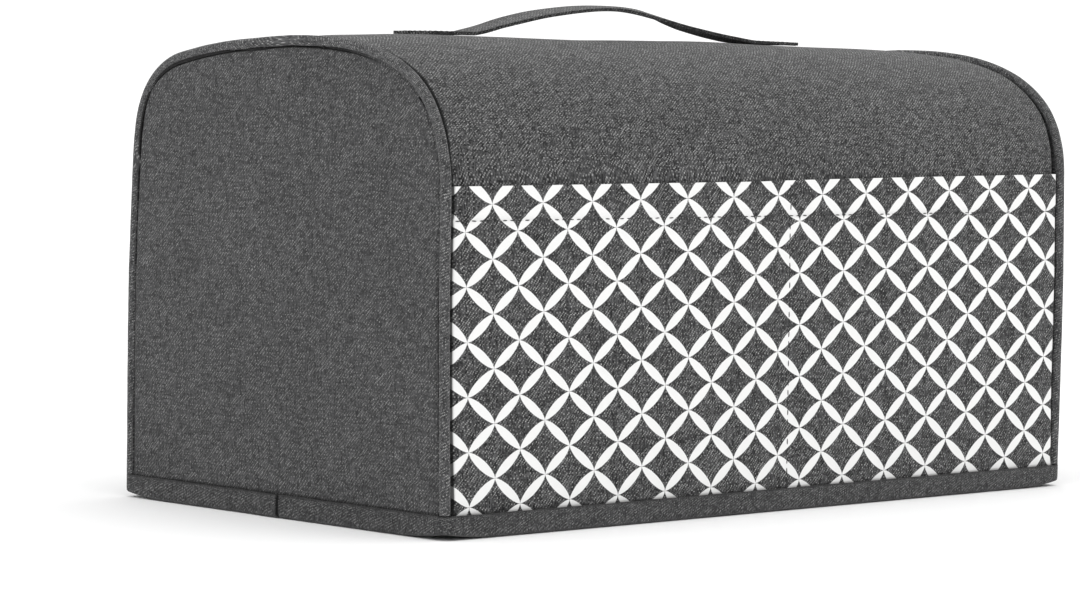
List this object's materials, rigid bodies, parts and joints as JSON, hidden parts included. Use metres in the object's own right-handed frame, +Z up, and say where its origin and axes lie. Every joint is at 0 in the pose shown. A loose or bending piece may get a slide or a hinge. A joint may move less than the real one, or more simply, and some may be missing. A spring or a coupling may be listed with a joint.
{
  "type": "toaster cover",
  "caption": "Soft cloth toaster cover with piped arched ends, a bound hem, a printed front pocket and a carrying strap on top.",
  "frame": {"origin": "middle of the footprint, on the surface that the hem rests on", "axes": "+Z up, front with the pocket towards -Y, piped end panels towards -X and +X, strap along X"},
  "size_m": [0.398, 0.206, 0.2197],
  "materials": {
    "charcoal_cloth": "matt, heathered twill weave",
    "printed_cloth": "matt, heathered charcoal twill with a white printed lattice of overlapping circles"
  },
  "bodies": {
    "root": {"main_panel": "charcoal_cloth", "side_panel_left": "charcoal_cloth", "side_panel_right": "charcoal_cloth", "piping_left": "charcoal_cloth", "piping_right": "charcoal_cloth", "hem_binding": "charcoal_cloth", "pocket_panel": "printed_cloth", "handle_strap": "charcoal_cloth"}
  },
  "joints": []
}
